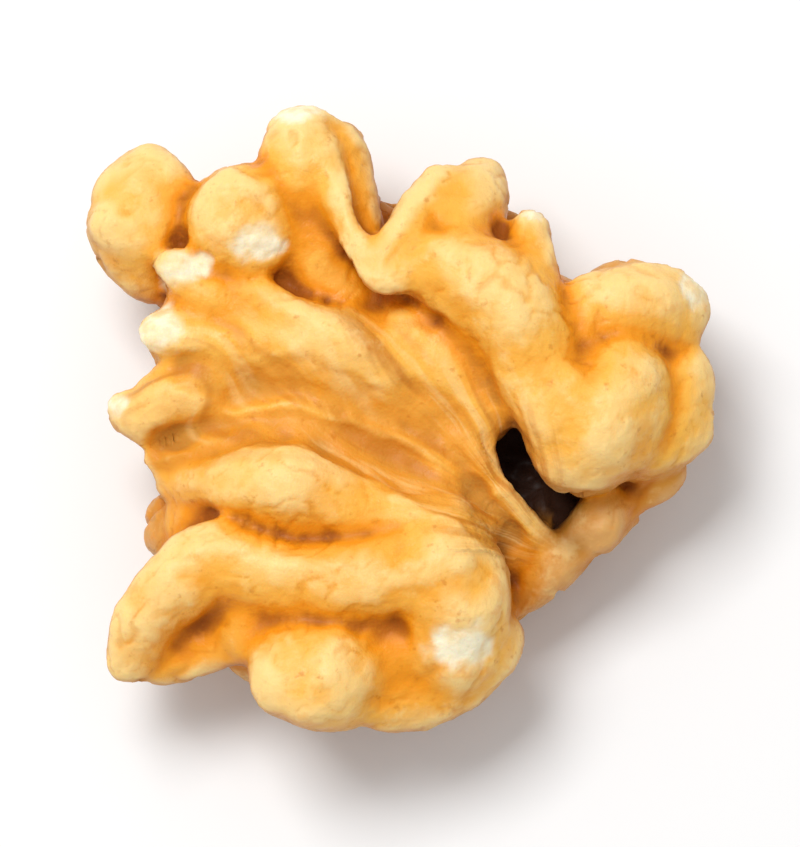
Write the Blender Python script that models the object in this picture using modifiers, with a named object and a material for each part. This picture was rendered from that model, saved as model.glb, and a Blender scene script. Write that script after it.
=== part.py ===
"""A shelled walnut half, lying on its rounded back with its inner face up.

The kernel grew as one piece: two deeply folded seed lobes that share a bridge. Each fold is a
round-ended tube whose radius changes along its length, and the folds are fused into one solid.
Lengths in the tables are in units of UNIT, in the kernel's own frame: x to the right and y to
the top of the inner face, z out of it, with z = 0 at the rim.
"""

import math

import bmesh
import bpy
from mathutils import Matrix, Vector, noise

# Metres in one unit of the tables. The kernel is about 31 units across.
UNIT = 0.00096

# How much longer the kernel is than the tables say, from the top of its inner face to the foot.
STRETCH = 1.02

# The shell's inner wall, which the folds of the back pressed against as they grew.
SHELL_RADIUS = 16.8
SHELL_DEPTH = 8.8

# How wide the back's folds are, as a share of the shapes that the table gives.
BACK_WIDTH = 0.9

# Fusing the folds: grid size, passes of smoothing, and how far growth wandered from the tables.
FUSE_GRID = 0.45
SMOOTH_PASSES = 4
WANDER = 0.55
WANDER_LENGTH = 5.5
WANDER_SEED = 1

# The facets of the finished solid, and the depth of the flats that it stands on.
FACE_SHARE = 0.2
REST_FLAT_DEPTH = 0.55

KERNEL_COLOUR = (0.66, 0.36, 0.11, 1.0)
KERNEL_ROUGHNESS = 0.42

# Inside each seed lobe, and the bridge between the two: (x, y, z, radius).
CORES = (
    ((-10.4, 8.6, -2.4, 3.0), (-6.0, 7.4, -2.6, 3.6), (-1.0, 6.6, -3.0, 3.9),
     (5.0, 4.4, -2.0, 4.4), (10.2, 2.4, -1.6, 3.6)),
    ((-10.4, -8.0, -2.2, 2.6), (-6.4, -7.4, -2.0, 3.7), (-1.4, -8.0, -2.0, 4.2),
     (1.8, -8.8, -2.0, 3.6)),
    ((-9.2, 5.0, -2.8, 2.8), (-8.8, 0.4, -3.2, 2.6), (-9.0, -5.0, -2.8, 2.8)),
    ((-4.5, 5.0, -2.8, 3.4), (-4.0, 0.4, -3.4, 3.2), (-4.0, -5.0, -2.8, 3.4)),
    ((0.6, 4.0, -2.8, 3.4), (0.2, -0.6, -3.6, 3.0), (-0.2, -5.0, -2.8, 3.4)),
    ((9.4, 0.8, -4.6, 2.2), (6.8, -1.6, -5.8, 1.8), (4.8, -4.0, -5.6, 2.0), (3.0, -6.4, -4.6, 2.2)),
    ((2.2, -0.4, -5.0, 2.2), (5.2, -2.0, -5.8, 1.9), (8.6, -3.8, -4.8, 1.9)),
    ((-6.8, -9.4, -1.2, 2.6), (-3.6, -10.0, -1.0, 2.8), (-0.4, -11.0, -1.0, 2.8)),
    ((4.0, 11.0, -2.4, 1.6), (3.4, 9.4, -2.4, 2.2)),
    ((2.0, 1.6, -4.6, 2.5), (5.6, 0.9, -5.0, 2.4), (9.0, 1.0, -4.6, 2.3)),
)

FACE_FOLDS = {
    "finger": ((-5.1, 13.5, 1.0, 2.1), (-4.9, 12.2, 0.9, 2.4), (-4.5, 10.2, 0.2, 2.5),
               (-3.9, 8.0, -0.4, 2.4), (-2.8, 6.0, -0.8, 2.1)),
    "finger_flank": ((-3.2, 12.8, 0.2, 2.0), (-3.0, 11.2, 0.2, 2.1), (-2.4, 9.2, 0.3, 2.0)),
    "finger_crest": ((-4.0, 12.6, 2.1, 1.2), (-3.4, 10.8, 2.6, 1.0), (-2.8, 9.2, 2.9, 0.9),
                     (-2.0, 7.6, 3.0, 1.0), (-0.8, 6.6, 3.1, 1.1), (0.8, 6.9, 3.0, 1.4)),
    "second_finger": ((3.8, 11.6, -0.6, 1.8), (3.2, 10.6, 0.2, 2.1), (2.6, 9.2, 0.8, 2.3),
                      (2.2, 7.8, 1.2, 2.3)),
    "second_crest": ((2.1, 11.6, 1.2, 0.9), (1.1, 10.1, 2.3, 1.0), (0.1, 8.6, 2.9, 1.1),
                     (-0.7, 7.4, 3.1, 1.2)),
    "plateau": ((0.0, 7.4, 2.4, 1.7), (1.6, 7.0, 2.5, 2.1), (3.6, 6.2, 2.4, 2.6),
                (5.2, 4.4, 2.3, 2.7), (6.4, 2.4, 2.2, 2.6), (8.0, 0.8, 2.0, 2.9)),
    "nub": ((6.2, 9.1, 1.7, 1.2), (6.3, 7.7, 1.9, 1.5), (5.8, 6.0, 2.0, 2.1)),
    "right_ball": ((10.2, 1.4, 1.5, 3.4), (9.6, 0.2, 1.4, 3.4), (8.9, -0.6, 1.0, 3.2)),
    "top_right": ((12.6, 5.4, 0.4, 2.4), (11.4, 5.2, 0.9, 2.6), (9.6, 4.6, 1.1, 2.5), (8.2, 4.0, 1.3, 2.3)),
    "right_bump": ((13.6, 1.8, 0.2, 2.1), (13.2, 0.2, 0.1, 2.2), (11.8, -0.8, 0.0, 2.2)),
    "left_ball": ((-8.1, 10.0, 0.8, 2.9), (-7.6, 9.2, 0.8, 2.9)),
    "outer_ball": ((-12.6, 10.9, -0.9, 2.7), (-12.8, 9.6, -1.0, 2.8), (-12.5, 8.3, -1.8, 2.4)),
    "arm_tip": ((-11.0, 7.3, 1.6, 1.2), (-9.8, 6.2, 1.0, 1.5), (-8.0, 5.4, 0.5, 1.8)),
    "arm_stub": ((-11.9, 4.3, 1.2, 1.25), (-10.6, 4.2, 0.6, 1.5), (-8.8, 4.2, 0.2, 2.0)),
    "arm": ((-9.6, 4.9, -0.2, 2.3), (-6.8, 4.3, -0.3, 2.8), (-4.0, 3.4, -0.3, 2.8),
            (-1.2, 2.4, -0.5, 2.8), (1.4, 1.6, -0.7, 2.6), (3.6, 1.0, -0.8, 2.4)),
    "arm_crest": ((-8.6, 6.0, 1.0, 1.0), (-6.4, 5.8, 1.6, 0.9), (-4.2, 4.8, 1.9, 0.9),
                  (-2.2, 3.4, 1.8, 0.9), (0.2, 2.4, 1.4, 0.9)),
    "cheek": ((0.4, 3.6, 0.2, 2.0), (2.4, 2.6, 0.2, 2.2), (4.4, 1.0, 0.2, 1.9)),
    "arm_heel": ((-13.5, 0.6, -0.4, 1.3), (-12.4, 0.5, -0.4, 1.5), (-11.2, 1.5, -0.4, 1.8),
                 (-9.2, 2.6, -0.6, 2.2)),
    "cleft_floor": ((-10.8, 0.2, -2.0, 2.0), (-7.0, 0.8, -1.4, 2.4), (-3.0, 0.4, -1.2, 2.6),
                    (0.4, -1.0, -1.2, 2.5), (2.8, -2.6, -1.5, 2.0)),
    "cleft_strip": ((-11.8, -1.6, -0.8, 0.9), (-8.4, -0.9, 0.0, 1.0), (-4.6, -1.0, 0.6, 1.0),
                    (-1.8, -2.2, 0.6, 1.1), (1.6, -3.8, 0.2, 1.1), (4.0, -5.2, -0.4, 0.9)),
    "slit_rim": ((2.2, 0.6, -0.1, 1.5), (3.4, -0.9, 0.2, 1.2), (4.3, -2.6, 0.1, 0.9),
                 (5.4, -4.0, -0.4, 0.8), (6.8, -5.2, -1.4, 0.9)),
    "slit_web": ((2.0, -2.4, -1.6, 1.8), (4.0, -4.2, -1.9, 1.6), (5.4, -5.4, -2.4, 1.5),
                 (6.4, -6.4, -3.0, 1.4)),
    "first_ridge": ((-10.8, -2.7, -1.6, 1.3), (-9.6, -2.9, -0.8, 1.5), (-8.0, -3.1, 0.5, 1.8),
                    (-6.0, -3.2, 1.5, 2.2), (-3.6, -3.8, 1.3, 2.2), (-1.0, -4.8, 0.9, 2.1),
                    (1.6, -5.6, 0.8, 2.3)),
    "second_ridge": ((-13.3, -11.2, -0.8, 1.4), (-12.3, -9.4, 0.0, 1.8), (-10.6, -7.8, 0.5, 2.0),
                     (-8.9, -6.9, 0.8, 2.0), (-6.8, -7.2, 0.9, 2.0), (-4.0, -7.8, 1.1, 2.1),
                     (-1.0, -7.6, 1.2, 2.4), (1.8, -7.2, 1.2, 2.8)),
    "base_lobe": ((1.8, -5.8, 0.6, 2.6), (2.4, -8.4, 0.7, 2.9), (2.4, -10.8, 0.1, 2.4)),
    "third_left": ((-11.8, -11.4, -1.9, 1.2), (-10.4, -10.8, -1.7, 1.4), (-8.8, -10.2, -1.4, 1.5)),
    "third_ball": ((-4.9, -12.0, 0.7, 2.8), (-3.4, -12.3, 0.8, 2.9), (-2.0, -12.4, 0.0, 2.4)),
    "third_right": ((-1.2, -12.9, -0.6, 2.1), (1.0, -12.8, -0.8, 1.9), (3.2, -11.8, -1.0, 1.9),
                    (4.0, -10.2, -1.0, 1.8)),
    "slit_lip": ((5.8, -7.4, -3.0, 1.3), (7.2, -6.3, -2.3, 1.6), (8.6, -5.2, -2.8, 1.4),
                 (9.8, -4.3, -2.0, 1.7), (11.1, -3.5, -2.8, 1.4), (12.4, -2.2, -2.1, 1.7)),
}

# Folds of the back, in plan: (x, y, radius). Each is lifted until it touches the shell's wall.
BACK_FOLDS = (
    ((-13.6, 9.6, 2.0), (-11.6, 9.8, 2.3), (-9.4, 8.2, 2.2), (-9.0, 6.0, 2.0), (-6.4, 5.2, 2.0)),
    ((-8.9, 11.2, 1.8), (-7.4, 10.8, 2.2), (-6.8, 9.0, 2.0), (-4.4, 7.8, 2.0), (-3.8, 5.4, 2.0)),
    ((-5.0, 13.2, 1.8), (-4.0, 12.0, 2.1), (-2.2, 11.0, 2.0), (-1.8, 9.2, 2.0), (0.4, 7.8, 2.0)),
    ((0.4, 10.8, 1.5), (1.2, 9.8, 1.9), (3.2, 9.2, 2.1), (3.4, 7.0, 2.0), (1.6, 5.4, 1.9)),
    ((4.0, 11.4, 1.8), (4.8, 9.9, 2.0), (6.0, 8.3, 1.9), (6.6, 6.6, 2.0), (5.6, 5.4, 2.0)),
    ((12.4, 6.8, 2.0), (10.6, 7.0, 2.1), (9.6, 5.6, 2.1), (8.0, 4.2, 2.0), (5.8, 3.0, 1.9)),
    ((14.0, 2.6, 1.9), (12.8, 3.4, 2.2), (11.6, 1.6, 2.1), (9.4, 1.6, 2.0), (7.6, 0.6, 1.9)),
    ((12.8, -1.0, 1.9), (11.0, -0.8, 2.2), (9.4, -2.2, 2.0)),
    ((-11.4, 4.4, 1.9), (-10.2, 3.4, 2.1), (-8.2, 3.4, 2.0), (-6.6, 1.6, 1.9), (-4.2, 2.2, 1.9)),
    ((-2.2, 3.8, 1.9), (-1.4, 1.6, 1.9), (0.8, 1.4, 2.0), (2.0, 3.2, 1.9), (4.0, 3.6, 1.8)),
    ((-12.2, 0.6, 1.8), (-10.8, -0.4, 2.1), (-9.0, -2.2, 2.1), (-6.6, -1.6, 2.0), (-4.6, -3.0, 2.0)),
    ((-11.4, -4.4, 2.0), (-10.4, -4.6, 2.1), (-9.2, -6.2, 2.1), (-7.0, -5.0, 2.0), (-4.8, -5.8, 2.0)),
    ((-12.6, -9.8, 1.9), (-11.2, -8.8, 2.2), (-9.6, -9.6, 2.2), (-8.4, -8.2, 2.0), (-6.2, -8.0, 2.0)),
    ((-7.6, -11.0, 1.7), (-6.2, -11.0, 2.1), (-5.0, -9.6, 2.1), (-2.8, -9.0, 2.0), (-2.6, -6.8, 2.0)),
    ((-4.0, -12.8, 1.8), (-2.4, -12.2, 2.1), (-1.8, -10.8, 2.1), (0.2, -9.6, 2.1), (0.6, -7.4, 2.0)),
    ((1.8, -12.4, 1.8), (2.4, -11.2, 2.0), (3.4, -9.8, 2.0), (3.2, -8.2, 2.1), (3.6, -6.2, 2.0)),
    ((5.0, -8.2, 1.5), (6.2, -6.8, 1.7), (5.8, -5.0, 1.6), (8.0, -4.4, 1.8), (10.0, -2.8, 1.9)),
    ((-2.6, -2.0, 1.9), (-1.2, -4.0, 1.9), (0.8, -3.2, 2.0), (2.0, -1.4, 1.9), (4.4, -2.4, 1.8)),
)


def shell_wall(x, y):
    """Height of the shell's inner wall at a point of the plan."""
    share = min((x * x + y * y) / SHELL_RADIUS**2, 0.97)
    return -SHELL_DEPTH * math.sqrt(1.0 - share)


def against_shell(fold):
    """A back fold's plan, lifted until it just touches the shell's wall."""
    lifted = []
    for x, y, table_radius in fold:
        radius = table_radius * BACK_WIDTH
        lifted.append((x, y, shell_wall(x, y) + radius, radius))
    return lifted


def smooth_path(points, steps=6):
    """A Catmull-Rom curve through points of position and radius, steps samples to a span."""
    before = Vector(points[0]) * 2 - Vector(points[1])
    after = Vector(points[-1]) * 2 - Vector(points[-2])
    known = [before, *map(Vector, points), after]
    path = []
    for a, b, c, d in zip(known, known[1:], known[2:], known[3:]):
        for step in range(steps):
            t = step / steps
            path.append(0.5 * (2 * b + (c - a) * t + (2 * a - 5 * b + 4 * c - d) * t**2
                               + (3 * b - a - 3 * c + d) * t**3))
    return [*path, Vector(points[-1])]


def fingertip(end, inner):
    """Points that carry a path on past its end, round as a ball of the end's radius."""
    outward = (end.xyz - inner.xyz).normalized()
    turns = [math.radians(angle) for angle in (25, 50, 70, 85)]
    return [(*(end.xyz + outward * end.w * math.sin(turn)), end.w * math.cos(turn))
            for turn in turns]


def fold_curve(folds):
    """One curve object whose splines are the folds, as tubes of changing radius."""
    curve = bpy.data.curves.new("folds", "CURVE")
    curve.dimensions = "3D"
    curve.bevel_depth = UNIT
    curve.bevel_resolution = 4
    curve.use_fill_caps = True
    for fold in folds:
        path = smooth_path(fold)
        rounded = [*reversed(fingertip(path[0], path[1])), *path, *fingertip(path[-1], path[-2])]
        spline = curve.splines.new("POLY")
        spline.points.add(len(rounded) - 1)
        for point, (x, y, z, radius) in zip(spline.points, rounded):
            point.co = (x * UNIT, y * STRETCH * UNIT, z * UNIT, 1.0)
            point.radius = radius
    tubes = bpy.data.objects.new("folds", curve)
    bpy.context.scene.collection.objects.link(tubes)
    return tubes


def evaluated_mesh(obj):
    """The object's mesh with its bevel or modifiers applied."""
    bpy.context.view_layer.update()
    graph = bpy.context.evaluated_depsgraph_get()
    return bpy.data.meshes.new_from_object(obj.evaluated_get(graph), depsgraph=graph)


def closed_tubes(tubes):
    """A mesh object of the curve's tubes with their caps welded on, which takes its place."""
    mesh = evaluated_mesh(tubes)
    bm = bmesh.new()
    bm.from_mesh(mesh)
    bmesh.ops.remove_doubles(bm, verts=bm.verts, dist=0.01 * UNIT)
    bm.to_mesh(mesh)
    bm.free()
    solid = bpy.data.objects.new("kernel", mesh)
    bpy.context.scene.collection.objects.link(solid)
    bpy.data.objects.remove(tubes)
    return solid


def apply_modifiers(obj):
    """Puts the evaluated mesh in the object and takes its modifiers off."""
    mesh = evaluated_mesh(obj)
    obj.modifiers.clear()
    obj.data = mesh


def keep_largest_island(mesh):
    """Deletes every separate surface but the one with the most vertices."""
    bm = bmesh.new()
    bm.from_mesh(mesh)
    unseen = set(bm.verts)
    islands = []
    while unseen:
        reached = [unseen.pop()]
        for vert in reached:
            others = [edge.other_vert(vert) for edge in vert.link_edges]
            fresh = [other for other in others if other in unseen]
            unseen.difference_update(fresh)
            reached.extend(fresh)
        islands.append(reached)
    islands.sort(key=len)
    spare = [vert for island in islands[:-1] for vert in island]
    bmesh.ops.delete(bm, geom=spare, context="VERTS")
    bm.to_mesh(mesh)
    bm.free()


def fuse(kernel):
    """Turns the overlapping tubes into one skin, whose folds blend where they meet."""
    remesh = kernel.modifiers.new("fuse", "REMESH")
    remesh.mode = "VOXEL"
    remesh.voxel_size = FUSE_GRID * UNIT
    blend = kernel.modifiers.new("blend", "SMOOTH")
    blend.factor = 0.5
    blend.iterations = SMOOTH_PASSES
    apply_modifiers(kernel)
    keep_largest_island(kernel.data)


def wander(mesh):
    """Bends the folds a little out of line, as uneven growth does."""
    noise.seed_set(WANDER_SEED)
    for vert in mesh.vertices:
        place = vert.co / (WANDER_LENGTH * UNIT)
        vert.co += noise.noise_vector(place) * WANDER * UNIT


def thin_out(kernel):
    """Leaves the share of the faces that holds the form."""
    fewer = kernel.modifiers.new("fewer faces", "DECIMATE")
    fewer.ratio = FACE_SHARE
    fewer.use_collapse_triangulate = True
    apply_modifiers(kernel)


def seat(mesh):
    """Moves the kernel to stand on the origin, with the flats' depth below it."""
    low = Vector(min(vert.co[axis] for vert in mesh.vertices) for axis in range(3))
    high = Vector(max(vert.co[axis] for vert in mesh.vertices) for axis in range(3))
    middle = (low + high) / 2
    mesh.transform(Matrix.Translation((-middle.x, -middle.y, -low.z - REST_FLAT_DEPTH * UNIT)))


def cut_rest_flats(kernel, cutters):
    """Cuts the lowest folds level, where the kernel rests."""
    side = 3 * SHELL_RADIUS * UNIT
    bpy.ops.mesh.primitive_cube_add(size=side)
    cutter = bpy.context.object
    cutter.name = "below_rest_plane"
    cutter.location.z = -side / 2
    cutter.hide_render = True
    cutter.display_type = "WIRE"
    for collection in list(cutter.users_collection):
        collection.objects.unlink(cutter)
    cutters.objects.link(cutter)
    cut = kernel.modifiers.new("rest flats", "BOOLEAN")
    cut.operation = "DIFFERENCE"
    cut.object = cutter


def skin_material():
    material = bpy.data.materials.new("kernel_skin")
    material.use_nodes = True
    surface = material.node_tree.nodes["Principled BSDF"]
    surface.inputs["Base Color"].default_value = KERNEL_COLOUR
    surface.inputs["Roughness"].default_value = KERNEL_ROUGHNESS
    surface.inputs["Metallic"].default_value = 0.0
    return material


def new_collection(name):
    collection = bpy.data.collections.new(name)
    bpy.context.scene.collection.children.link(collection)
    return collection


def build():
    for obj in list(bpy.data.objects):
        bpy.data.objects.remove(obj)
    parts = new_collection("cracked_walnut")
    cutters = new_collection("cutters")
    folds = [*CORES, *FACE_FOLDS.values(), *map(against_shell, BACK_FOLDS)]
    kernel = closed_tubes(fold_curve(folds))
    fuse(kernel)
    wander(kernel.data)
    thin_out(kernel)
    seat(kernel.data)
    kernel.data.shade_smooth()
    kernel.data.materials.append(skin_material())
    bpy.context.scene.collection.objects.unlink(kernel)
    parts.objects.link(kernel)
    cut_rest_flats(kernel, cutters)


build()
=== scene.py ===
"""The looks of a shelled walnut half: its folded form, its thin seed skin, and a plain studio."""
import math

import bmesh
import bpy
import numpy as np
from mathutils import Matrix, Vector, noise


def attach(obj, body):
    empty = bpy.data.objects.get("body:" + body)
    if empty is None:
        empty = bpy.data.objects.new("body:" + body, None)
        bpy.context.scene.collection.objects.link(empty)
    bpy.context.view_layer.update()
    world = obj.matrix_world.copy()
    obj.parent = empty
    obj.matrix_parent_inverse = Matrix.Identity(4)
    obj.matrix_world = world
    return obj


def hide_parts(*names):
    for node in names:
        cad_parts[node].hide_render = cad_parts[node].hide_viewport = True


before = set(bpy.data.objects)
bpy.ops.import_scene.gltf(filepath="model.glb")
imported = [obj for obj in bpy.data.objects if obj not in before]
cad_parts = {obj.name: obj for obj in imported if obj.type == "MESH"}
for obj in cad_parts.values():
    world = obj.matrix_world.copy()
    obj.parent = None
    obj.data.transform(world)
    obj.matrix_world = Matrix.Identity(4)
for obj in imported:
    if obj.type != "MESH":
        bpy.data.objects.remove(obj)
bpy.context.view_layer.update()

# ---------------------------------------------------------------------------------------------
# The kernel: a walnut half, which grows as one piece of oily meat under a thin waxy skin. It is
# two seed lobes that share a bridge, folded like cloth in a box. Each fold is a round-ended tube,
# all of them are fused into one closed form, and that form is wrinkled, chipped and coloured.
# ---------------------------------------------------------------------------------------------

# The form's tables are in units, x right and y up the inner face, z out of it, and 0 at the rim.
# One unit of the tables in metres: the kernel is about 31 units across.
UNIT = 0.00096
# How much longer the kernel is than the tables say, from the top of its inner face to the foot.
STRETCH = 1.02
# The inside of the shell that the kernel grew in, in units.
SHELL_RADIUS = 16.8
SHELL_DEPTH = 8.8
# How wide the folds of the back are, against their table.
BACK_WIDTH = 0.9
# The grid that fuses the folds, in units.
FUSE_GRID = 0.21
# The meat inside the folds, and the folds themselves: stops of x, y, z and radius.
CORES = (
    ((-10.4, 8.6, -2.4, 3.0), (-6.0, 7.4, -2.6, 3.6), (-1.0, 6.6, -3.0, 3.9),
     (5.0, 4.4, -2.0, 4.4), (10.2, 2.4, -1.6, 3.6)),
    ((-10.4, -8.0, -2.2, 2.6), (-6.4, -7.4, -2.0, 3.7), (-1.4, -8.0, -2.0, 4.2),
     (1.8, -8.8, -2.0, 3.6)),
    ((-9.2, 5.0, -2.8, 2.8), (-8.8, 0.4, -3.2, 2.6), (-9.0, -5.0, -2.8, 2.8)),
    ((-4.5, 5.0, -2.8, 3.4), (-4.0, 0.4, -3.4, 3.2), (-4.0, -5.0, -2.8, 3.4)),
    ((0.6, 4.0, -2.8, 3.4), (0.2, -0.6, -3.6, 3.0), (-0.2, -5.0, -2.8, 3.4)),
    ((9.4, 0.8, -4.6, 2.2), (6.8, -1.6, -5.8, 1.8), (4.8, -4.0, -5.6, 2.0), (3.0, -6.4, -4.6, 2.2)),
    ((2.2, -0.4, -5.0, 2.2), (5.2, -2.0, -5.8, 1.9), (8.6, -3.8, -4.8, 1.9)),
    ((-6.8, -9.4, -1.2, 2.6), (-3.6, -10.0, -1.0, 2.8), (-0.4, -11.0, -1.0, 2.8)),
    ((4.0, 11.0, -2.4, 1.6), (3.4, 9.4, -2.4, 2.2)),
    ((2.0, 1.6, -4.6, 2.5), (5.6, 0.9, -5.0, 2.4), (9.0, 1.0, -4.6, 2.3)),
)
FACE_FOLDS = {
    "finger": ((-5.1, 13.5, 1.0, 2.1), (-4.9, 12.2, 0.9, 2.4), (-4.5, 10.2, 0.2, 2.5),
               (-3.9, 8.0, -0.4, 2.4), (-2.8, 6.0, -0.8, 2.1)),
    "finger_flank": ((-3.2, 12.8, 0.2, 2.0), (-3.0, 11.2, 0.2, 2.1), (-2.4, 9.2, 0.3, 2.0)),
    "finger_crest": ((-4.0, 12.6, 2.1, 1.2), (-3.4, 10.8, 2.6, 1.0), (-2.8, 9.2, 2.9, 0.9),
                     (-2.0, 7.6, 3.0, 1.0), (-0.8, 6.6, 3.1, 1.1), (0.8, 6.9, 3.0, 1.4)),
    "second_finger": ((3.8, 11.6, -0.6, 1.8), (3.2, 10.6, 0.2, 2.1), (2.6, 9.2, 0.8, 2.3),
                      (2.2, 7.8, 1.2, 2.3)),
    "second_crest": ((2.1, 11.6, 1.2, 0.9), (1.1, 10.1, 2.3, 1.0), (0.1, 8.6, 2.9, 1.1),
                     (-0.7, 7.4, 3.1, 1.2)),
    "plateau": ((0.0, 7.4, 2.4, 1.7), (1.6, 7.0, 2.5, 2.1), (3.6, 6.2, 2.4, 2.6),
                (5.2, 4.4, 2.3, 2.7), (6.4, 2.4, 2.2, 2.6), (8.0, 0.8, 2.0, 2.9)),
    "nub": ((6.2, 9.1, 1.7, 1.2), (6.3, 7.7, 1.9, 1.5), (5.8, 6.0, 2.0, 2.1)),
    "right_ball": ((10.2, 1.4, 1.5, 3.4), (9.6, 0.2, 1.4, 3.4), (8.9, -0.6, 1.0, 3.2)),
    "top_right": ((12.6, 5.4, 0.4, 2.4), (11.4, 5.2, 0.9, 2.6), (9.6, 4.6, 1.1, 2.5),
                  (8.2, 4.0, 1.3, 2.3)),
    "right_bump": ((13.6, 1.8, 0.2, 2.1), (13.2, 0.2, 0.1, 2.2), (11.8, -0.8, 0.0, 2.2)),
    "left_ball": ((-8.1, 10.0, 0.8, 2.9), (-7.6, 9.2, 0.8, 2.9)),
    "outer_ball": ((-12.6, 10.9, -0.9, 2.7), (-12.8, 9.6, -1.0, 2.8), (-12.5, 8.3, -1.8, 2.4)),
    "arm_tip": ((-11.0, 7.3, 1.6, 1.2), (-9.8, 6.2, 1.0, 1.5), (-8.0, 5.4, 0.5, 1.8)),
    "arm_stub": ((-11.9, 4.3, 1.2, 1.25), (-10.6, 4.2, 0.6, 1.5), (-8.8, 4.2, 0.2, 2.0)),
    "arm": ((-9.6, 4.9, -0.2, 2.3), (-6.8, 4.3, -0.3, 2.8), (-4.0, 3.4, -0.3, 2.8),
            (-1.2, 2.4, -0.5, 2.8), (1.4, 1.6, -0.7, 2.6), (3.6, 1.0, -0.8, 2.4)),
    "arm_crest": ((-8.6, 6.0, 1.0, 1.0), (-6.4, 5.8, 1.6, 0.9), (-4.2, 4.8, 1.9, 0.9),
                  (-2.2, 3.4, 1.8, 0.9), (0.2, 2.4, 1.4, 0.9)),
    "cheek": ((0.4, 3.6, 0.2, 2.0), (2.4, 2.6, 0.2, 2.2), (4.4, 1.0, 0.2, 1.9)),
    "arm_heel": ((-13.5, 0.6, -0.4, 1.3), (-12.4, 0.5, -0.4, 1.5), (-11.2, 1.5, -0.4, 1.8),
                 (-9.2, 2.6, -0.6, 2.2)),
    "cleft_floor": ((-10.8, 0.2, -2.0, 2.0), (-7.0, 0.8, -1.4, 2.4), (-3.0, 0.4, -1.2, 2.6),
                    (0.4, -1.0, -1.2, 2.5), (2.8, -2.6, -1.5, 2.0)),
    "cleft_strip": ((-11.8, -1.6, -0.8, 0.9), (-8.4, -0.9, 0.0, 1.0), (-4.6, -1.0, 0.6, 1.0),
                    (-1.8, -2.2, 0.6, 1.1), (1.6, -3.8, 0.2, 1.1), (4.0, -5.2, -0.4, 0.9)),
    "slit_rim": ((2.2, 0.6, -0.1, 1.5), (3.4, -0.9, 0.2, 1.2), (4.3, -2.6, 0.1, 0.9),
                 (5.4, -4.0, -0.4, 0.8), (6.8, -5.2, -1.4, 0.9)),
    "slit_web": ((2.0, -2.4, -1.6, 1.8), (4.0, -4.2, -1.9, 1.6), (5.4, -5.4, -2.4, 1.5),
                 (6.4, -6.4, -3.0, 1.4)),
    "first_ridge": ((-10.8, -2.7, -1.6, 1.3), (-9.6, -2.9, -0.8, 1.5), (-8.0, -3.1, 0.5, 1.8),
                    (-6.0, -3.2, 1.5, 2.2), (-3.6, -3.8, 1.3, 2.2), (-1.0, -4.8, 0.9, 2.1),
                    (1.6, -5.6, 0.8, 2.3)),
    "second_ridge": ((-13.3, -11.2, -0.8, 1.4), (-12.3, -9.4, 0.0, 1.8), (-10.6, -7.8, 0.5, 2.0),
                     (-8.9, -6.9, 0.8, 2.0), (-6.8, -7.2, 0.9, 2.0), (-4.0, -7.8, 1.1, 2.1),
                     (-1.0, -7.6, 1.2, 2.4), (1.8, -7.2, 1.2, 2.8)),
    "base_lobe": ((1.8, -5.8, 0.6, 2.6), (2.4, -8.4, 0.7, 2.9), (2.4, -10.8, 0.1, 2.4)),
    "third_left": ((-11.8, -11.4, -1.9, 1.2), (-10.4, -10.8, -1.7, 1.4), (-8.8, -10.2, -1.4, 1.5)),
    "third_ball": ((-4.9, -12.0, 0.7, 2.8), (-3.4, -12.3, 0.8, 2.9), (-2.0, -12.4, 0.0, 2.4)),
    "third_right": ((-1.2, -12.9, -0.6, 2.1), (1.0, -12.8, -0.8, 1.9), (3.2, -11.8, -1.0, 1.9),
                    (4.0, -10.2, -1.0, 1.8)),
    "slit_lip": ((5.8, -7.4, -3.0, 1.3), (7.2, -6.3, -2.3, 1.6), (8.6, -5.2, -2.8, 1.4),
                 (9.8, -4.3, -2.0, 1.7), (11.1, -3.5, -2.8, 1.4), (12.4, -2.2, -2.1, 1.7)),
}
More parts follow.
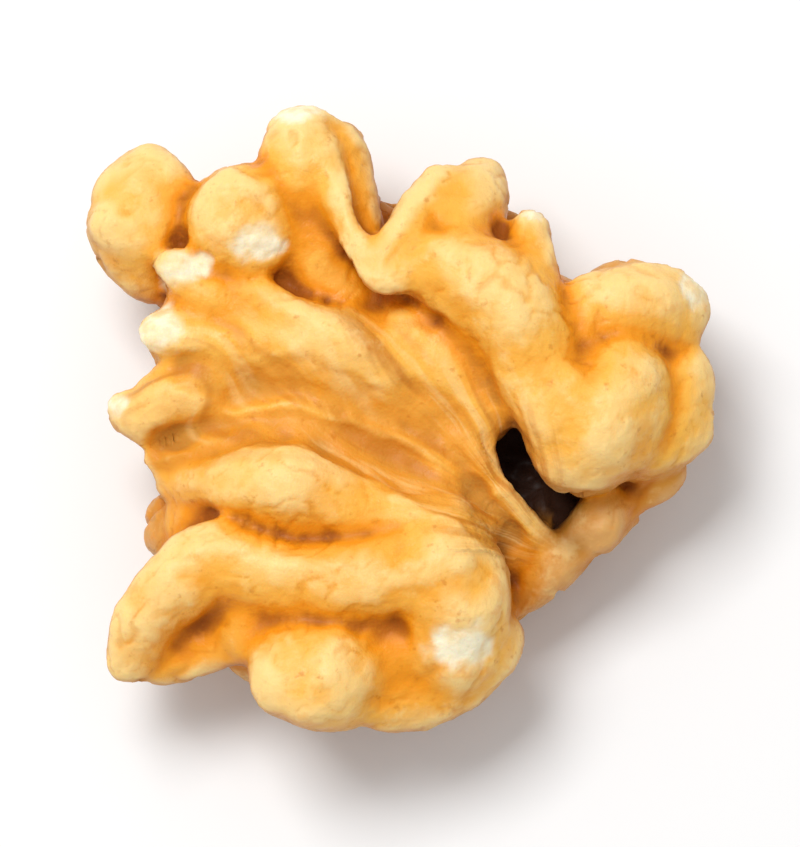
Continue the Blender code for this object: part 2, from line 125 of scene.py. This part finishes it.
# The folds of the back: stops of x, y and radius. Their height follows the shell.
BACK_FOLDS = (
    ((-13.6, 9.6, 2.0), (-11.6, 9.8, 2.3), (-9.4, 8.2, 2.2), (-9.0, 6.0, 2.0), (-6.4, 5.2, 2.0)),
    ((-8.9, 11.2, 1.8), (-7.4, 10.8, 2.2), (-6.8, 9.0, 2.0), (-4.4, 7.8, 2.0), (-3.8, 5.4, 2.0)),
    ((-5.0, 13.2, 1.8), (-4.0, 12.0, 2.1), (-2.2, 11.0, 2.0), (-1.8, 9.2, 2.0), (0.4, 7.8, 2.0)),
    ((0.4, 10.8, 1.5), (1.2, 9.8, 1.9), (3.2, 9.2, 2.1), (3.4, 7.0, 2.0), (1.6, 5.4, 1.9)),
    ((4.0, 11.4, 1.8), (4.8, 9.9, 2.0), (6.0, 8.3, 1.9), (6.6, 6.6, 2.0), (5.6, 5.4, 2.0)),
    ((12.4, 6.8, 2.0), (10.6, 7.0, 2.1), (9.6, 5.6, 2.1), (8.0, 4.2, 2.0), (5.8, 3.0, 1.9)),
    ((14.0, 2.6, 1.9), (12.8, 3.4, 2.2), (11.6, 1.6, 2.1), (9.4, 1.6, 2.0), (7.6, 0.6, 1.9)),
    ((12.8, -1.0, 1.9), (11.0, -0.8, 2.2), (9.4, -2.2, 2.0)),
    ((-11.4, 4.4, 1.9), (-10.2, 3.4, 2.1), (-8.2, 3.4, 2.0), (-6.6, 1.6, 1.9), (-4.2, 2.2, 1.9)),
    ((-2.2, 3.8, 1.9), (-1.4, 1.6, 1.9), (0.8, 1.4, 2.0), (2.0, 3.2, 1.9), (4.0, 3.6, 1.8)),
    ((-12.2, 0.6, 1.8), (-10.8, -0.4, 2.1), (-9.0, -2.2, 2.1), (-6.6, -1.6, 2.0), (-4.6, -3.0, 2.0)),
    ((-11.4, -4.4, 2.0), (-10.4, -4.6, 2.1), (-9.2, -6.2, 2.1), (-7.0, -5.0, 2.0), (-4.8, -5.8, 2.0)),
    ((-12.6, -9.8, 1.9), (-11.2, -8.8, 2.2), (-9.6, -9.6, 2.2), (-8.4, -8.2, 2.0), (-6.2, -8.0, 2.0)),
    ((-7.6, -11.0, 1.7), (-6.2, -11.0, 2.1), (-5.0, -9.6, 2.1), (-2.8, -9.0, 2.0), (-2.6, -6.8, 2.0)),
    ((-4.0, -12.8, 1.8), (-2.4, -12.2, 2.1), (-1.8, -10.8, 2.1), (0.2, -9.6, 2.1), (0.6, -7.4, 2.0)),
    ((1.8, -12.4, 1.8), (2.4, -11.2, 2.0), (3.4, -9.8, 2.0), (3.2, -8.2, 2.1), (3.6, -6.2, 2.0)),
    ((5.0, -8.2, 1.5), (6.2, -6.8, 1.7), (5.8, -5.0, 1.6), (8.0, -4.4, 1.8), (10.0, -2.8, 1.9)),
    ((-2.6, -2.0, 1.9), (-1.2, -4.0, 1.9), (0.8, -3.2, 2.0), (2.0, -1.4, 1.9), (4.4, -2.4, 1.8)),
)


def against_shell(fold):
    """A back fold's plan, lifted until it just touches the wall of the shell it grew in."""
    lifted = []
    for x, y, table_radius in fold:
        radius = table_radius * BACK_WIDTH
        share = min((x * x + y * y) / SHELL_RADIUS**2, 0.97)
        lifted.append((x, y, radius - SHELL_DEPTH * math.sqrt(1.0 - share), radius))
    return lifted


def smooth_path(points, steps=6):
    """A Catmull-Rom curve through points of position and radius, steps samples to a span."""
    before = Vector(points[0]) * 2 - Vector(points[1])
    after = Vector(points[-1]) * 2 - Vector(points[-2])
    known = [before, *map(Vector, points), after]
    path = []
    for a, b, c, d in zip(known, known[1:], known[2:], known[3:]):
        for step in range(steps):
            t = step / steps
            path.append(0.5 * (2 * b + (c - a) * t + (2 * a - 5 * b + 4 * c - d) * t**2
                               + (3 * b - a - 3 * c + d) * t**3))
    return [*path, Vector(points[-1])]


def fingertip(end, inner):
    """Points that carry a path on past its end, round as a ball of the end's radius."""
    outward = (end.xyz - inner.xyz).normalized()
    turns = [math.radians(angle) for angle in (25, 50, 70, 85)]
    return [(*(end.xyz + outward * end.w * math.sin(turn)), end.w * math.cos(turn))
            for turn in turns]


def evaluated_mesh(obj):
    """The object's mesh with its bevel or modifiers applied."""
    bpy.context.view_layer.update()
    graph = bpy.context.evaluated_depsgraph_get()
    return bpy.data.meshes.new_from_object(obj.evaluated_get(graph), depsgraph=graph)


def fold_tubes(folds):
    """One closed mesh object of overlapping tubes, a tube for each fold."""
    curve = bpy.data.curves.new("folds", "CURVE")
    curve.dimensions = "3D"
    curve.bevel_depth = UNIT
    curve.bevel_resolution = 6
    curve.use_fill_caps = True
    for fold in folds:
        path = smooth_path(fold)
        rounded = [*reversed(fingertip(path[0], path[1])), *path, *fingertip(path[-1], path[-2])]
        spline = curve.splines.new("POLY")
        spline.points.add(len(rounded) - 1)
        for point, (x, y, z, radius) in zip(spline.points, rounded):
            point.co = (x * UNIT, y * STRETCH * UNIT, z * UNIT, 1.0)
            point.radius = radius
    tubes = bpy.data.objects.new("folds", curve)
    bpy.context.scene.collection.objects.link(tubes)
    mesh = evaluated_mesh(tubes)
    bpy.data.objects.remove(tubes)
    bm = bmesh.new()
    bm.from_mesh(mesh)
    bmesh.ops.remove_doubles(bm, verts=bm.verts, dist=0.01 * UNIT)
    bm.to_mesh(mesh)
    bm.free()
    solid = bpy.data.objects.new("walnut_kernel", mesh)
    bpy.context.scene.collection.objects.link(solid)
    return solid


def keep_largest_island(mesh):
    """Deletes every separate surface but the one with the most vertices."""
    bm = bmesh.new()
    bm.from_mesh(mesh)
    unseen = set(bm.verts)
    islands = []
    while unseen:
        reached = [unseen.pop()]
        for vert in reached:
            others = [edge.other_vert(vert) for edge in vert.link_edges]
            fresh = [other for other in others if other in unseen]
            unseen.difference_update(fresh)
            reached.extend(fresh)
        islands.append(reached)
    islands.sort(key=len)
    spare = [vert for island in islands[:-1] for vert in island]
    bmesh.ops.delete(bm, geom=spare, context="VERTS")
    bm.to_mesh(mesh)
    bm.free()


kernel = fold_tubes([*CORES, *FACE_FOLDS.values(), *map(against_shell, BACK_FOLDS)])
fuse = kernel.modifiers.new("fuse", "REMESH")
fuse.mode = "VOXEL"
fuse.voxel_size = FUSE_GRID * UNIT
fused = evaluated_mesh(kernel)
kernel.modifiers.clear()
kernel.data = fused
keep_largest_island(fused)

# The relief. Growth softens the folds into each other, pinches the creases between them, and
# wrinkles the skin; fibres run along the cleft, and chips have broken off the thin ends.

# How far the folds are softened into each other, and how far and over what length they wander
# from the tables, in units.
BLEND_LENGTH = 0.8
WANDER = 0.55
WANDER_LENGTH = 5.5
# How much deeper growth pinches each crease, as a share of its depth, up to a depth in units.
CREASE_PINCH = 0.6
DEEPEST_PINCH = 0.5
noise.seed_set(1)


def positions(mesh):
    flat = np.empty(len(mesh.vertices) * 3, np.float32)
    mesh.vertices.foreach_get("co", flat)
    return flat.reshape(-1, 3).astype(float)


def normals(mesh):
    flat = np.empty(len(mesh.vertices) * 3, np.float32)
    mesh.vertices.foreach_get("normal", flat)
    return flat.reshape(-1, 3).astype(float)


def place(mesh, points):
    mesh.vertices.foreach_set("co", points.astype(np.float32).ravel())
    mesh.update()


edge_list = np.empty(len(fused.edges) * 2, np.int32)
fused.edges.foreach_get("vertices", edge_list)
edge_from, edge_to = edge_list.reshape(-1, 2).T
neighbours = np.bincount(edge_list, minlength=len(fused.vertices))


def softened(values, length):
    """Values spread over the surface, as if blurred by about length units."""
    passes = max(1, round((length / FUSE_GRID) ** 2))
    count = len(values)
    values = values.reshape(count, -1)
    for _ in range(passes):
        around = np.stack([np.bincount(edge_from, column[edge_to], count)
                           + np.bincount(edge_to, column[edge_from], count)
                           for column in values.T], axis=1)
        values = 0.5 * values + 0.5 * around / neighbours[:, None]
    return values


points = softened(positions(fused), BLEND_LENGTH)
wander = [noise.noise_vector(Vector(p) / (WANDER_LENGTH * UNIT)) for p in points]
points += np.array(wander) * WANDER * UNIT
place(fused, points)


# How deep each spot lies below its surroundings, in units: creases are positive, crests negative.
facing = normals(fused)
depth = ((softened(points, 1.2) - points) * facing).sum(axis=1) / UNIT
points -= facing * np.clip(depth, 0.0, DEEPEST_PINCH)[:, None] * CREASE_PINCH * UNIT
place(fused, points)


def noise_at(coords, octaves):
    """Fractal noise between about -1 and 1 for an array of places."""
    return np.array([noise.fractal(Vector(p), 0.9, 2.1, octaves) for p in coords])


def fade(values, start, end):
    """0 where values are before start, 1 after end, and a smooth rise between them."""
    t = np.clip((values - start) / (end - start), 0.0, 1.0)
    return t * t * (3.0 - 2.0 * t)


def near_path(plan, stops, reach):
    """1 on a path of stops in the plan, fading to 0 at reach units from it."""
    best = np.full(len(plan), np.inf)
    for start, end in zip(stops, stops[1:]):
        a, b = np.array(start), np.array(end)
        t = np.clip(((plan - a) @ (b - a)) / ((b - a) @ (b - a)), 0.0, 1.0)
        best = np.minimum(best, np.linalg.norm(plan - a - t[:, None] * (b - a), axis=1))
    return 1.0 - fade(best, 0.4 * reach, reach)


# Where the skin is fibrous, how far to each side, and the point by the slit that the fibres run
# towards.
FIBRE_BAND = ((-10.5, 1.6), (-6.0, 1.8), (-2.0, 1.2), (1.5, -0.6), (4.2, -3.0))
FIBRE_REACH = 4.6
FIBRE_FOCUS = (8.5, -6.5)
# How many strands there are to a radian around the focus, and how slowly each changes along it.
STRANDS_PER_RADIAN = 6.5
STRAND_CHANGE = 0.16
units = points / UNIT
plan = units[:, :2] / (1.0, STRETCH)
up = facing[:, 2]
face = fade(up, -0.15, 0.35) * fade(units[:, 2], -4.0, -2.0)
fibre = near_path(plan, FIBRE_BAND, FIBRE_REACH) * face
from_focus = plan - FIBRE_FOCUS
distance = np.linalg.norm(from_focus, axis=1)
angle = np.arctan2(from_focus[:, 1], from_focus[:, 0])
strand = np.stack([distance * STRAND_CHANGE, angle * STRANDS_PER_RADIAN + units[:, 2] * 0.2,
                   np.zeros(len(plan))], axis=1)
strand[:, 1] += 0.8 * noise_at(units * 0.14, 2)
strands = 1.0 - np.abs(noise_at(strand * (1.0, 1.6, 1.0), 2)) * 2.0

# Chips have broken off the thin ends: x, y, and half the width and height of each.
CHIPS = ((-5.3, 15.1, 1.5, 1.0), (-10.6, 7.3, 1.1, 0.9), (-12.0, 4.3, 1.25, 1.25),
         (-7.0, 8.2, 1.2, 0.8), (14.3, 6.2, 0.7, 1.2), (2.9, -10.9, 1.6, 1.0),
         (-14.0, 0.9, 0.6, 0.6), (6.4, 10.0, 0.7, 0.6))
chip = np.zeros(len(plan))
ragged = noise_at(units * 0.9, 3)
thin_end = face * fade(units[:, 2], -1.6, -0.4)
for x, y, wide, tall in CHIPS:
    away = np.linalg.norm((plan - (x, y)) / (wide, tall), axis=1)
    chip = np.maximum(chip, thin_end * (1.0 - fade(away + 0.45 * ragged, 0.7, 1.25)))

# The slit between the two seed lobes, painted nearly black as its shade: only the faces that look
# into it, and its floor.
SLIT = ((4.9, -0.9), (6.4, -2.8), (8.4, -4.2))
SLIT_REACH = 2.6
from_slit = plan - np.mean(SLIT, axis=0)
outward = (facing[:, :2] * from_slit).sum(axis=1) / np.linalg.norm(from_slit, axis=1)
inside = np.maximum(fade(up, 0.5, 0.9), fade(-outward, -0.1, 0.3)) * fade(up, -0.5, -0.1)
slit_shade = near_path(plan, SLIT, SLIT_REACH) * inside * (1.0 - fade(units[:, 2], -2.2, 0.2))
slit_shade *= fade(units[:, 2], -6.5, -5.5)

# Shallow grooves where the folds of the inner face meet, as stops in the plan. They are pressed into
# the relief, and the colour darkens them with painted shade.
GROOVES = (
    ((-10.4, 2.2), (-8.2, 1.7), (-5.0, 1.9), (-2.1, 0.9), (1.0, -0.4), (3.6, -1.8)),
    ((-11.7, -1.4), (-9.0, -0.6), (-5.0, -0.3), (-2.1, -1.4), (1.6, -3.5), (5.0, -5.4)),
    ((0.4, 0.9), (2.2, -0.6), (4.0, -2.8)),
)
GROOVE_REACH = 1.3
groove = np.max([near_path(plan + 0.35 * noise_at(units * 0.4, 2)[:, None], stops, GROOVE_REACH)
                 for stops in GROOVES], axis=0) * face

# The thin lip past the slit gets the same painted shade as the grooves, where it lies low.
LIP = ((6.8, -7.8), (8.4, -6.2), (11.2, -4.9), (13.8, -3.4))
LIP_REACH = 2.8
lip_shade = near_path(plan + 0.5 * noise_at(units * 0.5, 2)[:, None], LIP, LIP_REACH) * face
lip_shade *= 1.0 - fade(units[:, 2], -1.0, 1.2)

# Soft ripples of three sizes.
ripple = (noise_at(units * 0.26, 2) * 0.16 + noise_at(units * 0.55, 3) * 0.10
          + noise_at(units * 1.7, 2) * 0.035)
# Fine wrinkles: broken, winding lines where the skin is pinched in.
winding = units + noise_at(units * 0.5, 2)[:, None] * 0.8
broken = fade(noise_at(units * 0.22, 2), -0.05, 0.30)
wrinkle = (1.0 - fade(np.abs(noise_at(winding * 0.42, 2)), 0.0, 0.16)) * broken
wrinkle += 0.6 * (1.0 - fade(np.abs(noise_at(winding * 0.95, 1)), 0.0, 0.14)) * (1.0 - broken)
wrinkle *= 1.0 - np.maximum(chip, 0.8 * fibre)
# The back is furrowed more deeply, in long winding lines.
furrow = (1.0 - fade(np.abs(noise_at(winding * 0.25, 1)), 0.0, 0.22)) * (1.0 - face)
furrow *= 1.0 - chip

# How far each of them moves the skin, in units.
SHRINKAGE = 0.10
WRINKLE_DEPTH = 0.07
FURROW_DEPTH = 0.40
STRAND_HEIGHT = 0.12
CHIP_DEPTH = 0.12
CHIP_ROUGHNESS = 0.06
GROOVE_DEPTH = 0.28
relief = (ripple - SHRINKAGE - wrinkle * WRINKLE_DEPTH - furrow * FURROW_DEPTH
          + fibre * strands * STRAND_HEIGHT - chip * CHIP_DEPTH - groove * GROOVE_DEPTH)
relief += chip * noise_at(units * 2.2, 2) * CHIP_ROUGHNESS
points += facing * relief[:, None] * UNIT
place(fused, points)

# The kernel rests on its lowest folds, which are worn level by this many units.
REST_FLAT_DEPTH = 0.55
low, high = points.min(axis=0), points.max(axis=0)
middle = (low + high) / 2
points -= (middle[0], middle[1], low[2] + REST_FLAT_DEPTH * UNIT)
points[:, 2] = np.maximum(points[:, 2], 0.0)
place(fused, points)
fused.shade_smooth()


def keep_on_skin(name, values):
    """Stores a value for each vertex, for the skin's material to read."""
    layer = fused.attributes.new(name, "FLOAT", "POINT")
    layer.data.foreach_set("value", np.ascontiguousarray(values, np.float32))


# The depth of each spot below its close, wider and far surroundings.
facing = normals(fused)
depth = ((softened(points, 0.8) - points) * facing).sum(axis=1) / UNIT
depth = softened(depth, 0.55)[:, 0]
wide_depth = ((softened(points, 2.2) - points) * facing).sum(axis=1) / UNIT
far_depth = ((softened(points, 4.0) - points) * facing).sum(axis=1) / UNIT
keep_on_skin("crease", depth)
keep_on_skin("valley", wide_depth)
keep_on_skin("hollow", far_depth)
keep_on_skin("groove", np.maximum(groove, lip_shade))
keep_on_skin("slit_shade", slit_shade)
keep_on_skin("wrinkle", np.maximum(wrinkle, furrow))
keep_on_skin("fibre", fibre)
keep_on_skin("chip", chip)
keep_on_skin("back", 1.0 - face)
# Painted shade mask: faces turned sideways and the low parts, where less light falls.
sides = 1.0 - fade(softened(facing, 0.5)[:, 2], 0.0, 0.75)
keep_on_skin("side_and_low_shade", np.maximum(sides, 1.0 - fade(units[:, 2], -4.0, 0.5)))
keep_on_skin("along", distance)
keep_on_skin("across", strand[:, 1])
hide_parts("kernel")
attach(kernel, "root")

# The seed skin: a thin waxy coat with golden fibres along the cleft, veins on the back and cream
# flesh at the chips. Its colour also holds painted light: a painted highlight of pale gold on the
# crests; painted shade of deep amber in the grooves, wrinkles, sides and low parts, and in the
# valleys and hollows, where the skin's own amber is deeper too; brown painted shade in the creases;
# and nearly black painted shade in the slit.
skin = bpy.data.materials.new("seed_skin")
skin.use_nodes = True
tree = skin.node_tree
surface = tree.nodes["Principled BSDF"]


def put(socket, value):
    """Links a node's output to the socket, or sets the socket to a plain value."""
    if isinstance(value, bpy.types.NodeSocket):
        tree.links.new(value, socket)
    else:
        socket.default_value = value


def attribute(name):
    node = tree.nodes.new("ShaderNodeAttribute")
    node.attribute_name = name
    return node.outputs["Fac"]


def maths(operation, a, b=0.0):
    node = tree.nodes.new("ShaderNodeMath")
    node.operation = operation
    put(node.inputs[0], a)
    put(node.inputs[1], b)
    return node.outputs[0]


def rise(value, start, end, low=0.0, high=1.0):
    """Maps start..end smoothly to low..high."""
    node = tree.nodes.new("ShaderNodeMapRange")
    node.interpolation_type = "SMOOTHSTEP"
    for socket, setting in zip(node.inputs, (value, start, end, low, high)):
        put(socket, setting)
    return node.outputs[0]


def blend(factor, a, b):
    """Mixes two colours by a factor."""
    node = tree.nodes.new("ShaderNodeMix")
    node.data_type = "RGBA"
    put(node.inputs["Factor"], factor)
    put(node.inputs["A"], a)
    put(node.inputs["B"], b)
    return node.outputs["Result"]


def grain(size, detail=2.0, vector=None, rough=0.5):
    """Noise with features about size metres across."""
    node = tree.nodes.new("ShaderNodeTexNoise")
    node.inputs["Scale"].default_value = 1.0 / size
    node.inputs["Detail"].default_value = detail
    node.inputs["Roughness"].default_value = rough
    put(node.inputs["Vector"], vector or where)
    return node.outputs["Fac"]


where = tree.nodes.new("ShaderNodeTexCoord").outputs["Object"]
crease, valley, hollow = attribute("crease"), attribute("valley"), attribute("hollow")
fibre_mask, chip_mask, back_mask = attribute("fibre"), attribute("chip"), attribute("back")

CREST = (0.95, 0.64, 0.24, 1)
GOLD = (0.92, 0.47, 0.07, 1)
AMBER = (0.84, 0.30, 0.010, 1)
DEEP_AMBER = (0.54, 0.152, 0.002, 1)
# Brown painted shade for the deepest creases.
CREASE_SHADE_BROWN = (0.22, 0.050, 0.003, 1)
FLESH = (0.97, 0.87, 0.62, 1)
DRY_FLESH = (0.90, 0.68, 0.36, 1)
FLAKE = (0.95, 0.68, 0.28, 1)
FIBRE_BROWN = (0.53, 0.17, 0.010, 1)
TAN = (0.62, 0.29, 0.07, 1)
DARK_TAN = (0.44, 0.16, 0.025, 1)
VEIN_BROWN = (0.20, 0.06, 0.012, 1)
# The nearly black painted shade inside the slit.
SLIT_SHADE_BLACK = (0.035, 0.010, 0.003, 1)

# Gold clouds, with painted light on top: a painted highlight paler on the crests, and painted shade
# deeper in the valleys and hollows, where the skin's own amber is deeper too, on the sides and low
# parts, in the grooves and wrinkles, and brown in the creases.
cloud = grain(0.006, 3.0)
colour = blend(rise(cloud, 0.38, 0.66), GOLD, blend(0.5, GOLD, AMBER))
# Painted highlight: the crests are paler where the light falls on them.
colour = blend(rise(valley, -0.05, -0.32), colour, CREST)
# Painted shade in the valleys and hollows, over the skin's own deeper amber there.
colour = blend(rise(valley, -0.06, 0.14), colour, AMBER)
colour = blend(rise(valley, 0.10, 0.45), colour, DEEP_AMBER)
colour = blend(rise(hollow, 0.3, 1.2, 0.0, 0.7), colour, DEEP_AMBER)
# Painted shade on the sides that turn away from the light and on the low parts.
colour = blend(rise(attribute("side_and_low_shade"), 0.25, 1.0, 0.0, 0.55), colour, DEEP_AMBER)
# Painted shade in the grooves and on the low lip past the slit.
colour = blend(rise(attribute("groove"), 0.1, 0.9, 0.0, 0.5), colour, DEEP_AMBER)
# Painted shade in the pinched wrinkles and furrows.
colour = blend(rise(attribute("wrinkle"), 0.2, 1.0, 0.0, 0.20), colour, DEEP_AMBER)
# Painted shade: the deepest creases turn brown.
creased = rise(crease, 0.035, 0.13)
colour = blend(maths("MULTIPLY", creased, 0.75), colour, CREASE_SHADE_BROWN)

# Light and dark strands run along the fibres.
strand_place = tree.nodes.new("ShaderNodeCombineXYZ")
put(strand_place.inputs["X"], maths("MULTIPLY", attribute("along"), 0.09))
put(strand_place.inputs["Y"], attribute("across"))
strand_fine = grain(0.6, 3.0, strand_place.outputs[0], 0.5)
fibre_dark = maths("MULTIPLY", rise(strand_fine, 0.48, 0.66), fibre_mask)
fibre_light = maths("MULTIPLY", rise(strand_fine, 0.48, 0.34), fibre_mask)
colour = blend(maths("MULTIPLY", fibre_mask, 0.45), colour, GOLD)
colour = blend(maths("MULTIPLY", fibre_dark, 0.7), colour, FIBRE_BROWN)
colour = blend(maths("MULTIPLY", fibre_light, 0.65), colour, CREST)

# The back and sides are tanner, with fine branching veins.
vein = rise(maths("ABSOLUTE", maths("SUBTRACT", grain(0.0055, 4.0), 0.5)), 0.014, 0.002)
fine_vein = rise(maths("ABSOLUTE", maths("SUBTRACT", grain(0.0022, 3.0), 0.5)), 0.020, 0.002)
veins = maths("MULTIPLY", maths("MAXIMUM", vein, maths("MULTIPLY", fine_vein, 0.5)), back_mask)
tan = blend(rise(cloud, 0.38, 0.66), TAN, DARK_TAN)
colour = blend(maths("MULTIPLY", back_mask, 0.5), colour, tan)
colour = blend(maths("MULTIPLY", veins, 0.35), colour, VEIN_BROWN)

# Pale flakes and tan flecks, large soft ones and small sharp ones.
flake = grain(0.0022, 4.0, rough=0.65)
proud = rise(valley, 0.05, -0.15)
pale = maths("MULTIPLY", rise(flake, 0.54, 0.70, 0.0, 0.5), proud)
colour = blend(pale, colour, FLAKE)
colour = blend(rise(flake, 0.44, 0.30, 0.0, 0.40), colour, AMBER)
fleck = grain(0.0006, 3.0, rough=0.6)
colour = blend(maths("MULTIPLY", rise(fleck, 0.60, 0.78, 0.0, 0.35), proud), colour, CREST)
colour = blend(rise(fleck, 0.40, 0.24, 0.0, 0.45), colour, DEEP_AMBER)

# Cream flesh shows at the chips, and the inside of the slit is painted nearly black as shade.
flesh = blend(rise(grain(0.0008, 3.0), 0.35, 0.7), FLESH, DRY_FLESH)
colour = blend(chip_mask, colour, flesh)
# Painted shade: the inside of the slit is nearly black.
slit_shade_mask = attribute("slit_shade")
colour = blend(slit_shade_mask, colour, SLIT_SHADE_BLACK)
put(surface.inputs["Base Color"], colour)

# The skin is waxy, and dull where it is chipped, creased or in the slit that is painted dark as
# shade.
waxy = rise(grain(0.0011, 2.0), 0.3, 0.7, 0.34, 0.54)
dull = maths("MAXIMUM", maths("MAXIMUM", chip_mask, slit_shade_mask), creased)
put(surface.inputs["Roughness"], maths("ADD", waxy, maths("MULTIPLY", dull, 0.3)))
surface.inputs["Subsurface Weight"].default_value = 0.15
surface.inputs["Subsurface Radius"].default_value = (1.0, 0.42, 0.14)
surface.inputs["Subsurface Scale"].default_value = 0.0009
surface.inputs["Specular IOR Level"].default_value = 0.2
surface.inputs["Coat Weight"].default_value = 0.04
surface.inputs["Coat Roughness"].default_value = 0.22

# A fine grain, with strands along the fibres and sunken veins on the back.
height = maths("ADD", maths("MULTIPLY", grain(0.0004, 4.0, rough=0.6), 0.8),
               maths("MULTIPLY", maths("MULTIPLY", strand_fine, fibre_mask), 1.4))
height = maths("ADD", height, maths("MULTIPLY", veins, -0.5))
bump = tree.nodes.new("ShaderNodeBump")
bump.inputs["Strength"].default_value = 0.8
bump.inputs["Distance"].default_value = 0.00012
put(bump.inputs["Height"], height)
put(surface.inputs["Normal"], bump.outputs[0])
fused.materials.clear()
fused.materials.append(skin)

# ---------------------------------------------------------------------------------------------
# The studio: a pale floor and soft light, and the camera above the kernel's inner face.
# ---------------------------------------------------------------------------------------------
bpy.ops.mesh.primitive_plane_add(size=1.2)
floor = bpy.context.object
floor.name = "floor"
paper = bpy.data.materials.new("studio_floor")
paper.use_nodes = True
paper.node_tree.nodes["Principled BSDF"].inputs["Base Color"].default_value = (0.9, 0.9, 0.9, 1)
paper.node_tree.nodes["Principled BSDF"].inputs["Roughness"].default_value = 0.7
floor.data.materials.append(paper)

world = bpy.data.worlds.new("studio")
bpy.context.scene.world = world
world.use_nodes = True
world.node_tree.nodes["Background"].inputs["Color"].default_value = (1, 1, 1, 1)
world.node_tree.nodes["Background"].inputs["Strength"].default_value = 0.55


def softbox(name, place, power, size):
    """A square area light that points at the kernel."""
    light = bpy.data.lights.new(name, "AREA")
    light.energy = power
    light.size = size
    lamp = bpy.data.objects.new(name, light)
    bpy.context.scene.collection.objects.link(lamp)
    lamp.location = place
    lamp.rotation_euler = (-Vector(place)).to_track_quat("-Z", "Y").to_euler()


softbox("key", (-0.08, 0.09, 0.27), 0.62, 0.12)

CAMERA_ELEVATION = math.radians(82)
CAMERA_DISTANCE = 0.2
CAMERA_LENS = 180
target = Vector((0.0, 0.0, 0.006))
camera = bpy.data.objects.new("camera", bpy.data.cameras.new("camera"))
bpy.context.scene.collection.objects.link(camera)
camera.data.lens = CAMERA_LENS
camera.data.clip_start = 0.005
back = Vector((0.0, -math.cos(CAMERA_ELEVATION), math.sin(CAMERA_ELEVATION)))
camera.location = target + back * CAMERA_DISTANCE
camera.rotation_euler = (-back).to_track_quat("-Z", "Y").to_euler()
bpy.context.scene.camera = camera
bpy.context.scene.view_settings.view_transform = "Standard"

bpy.context.view_layer.update()
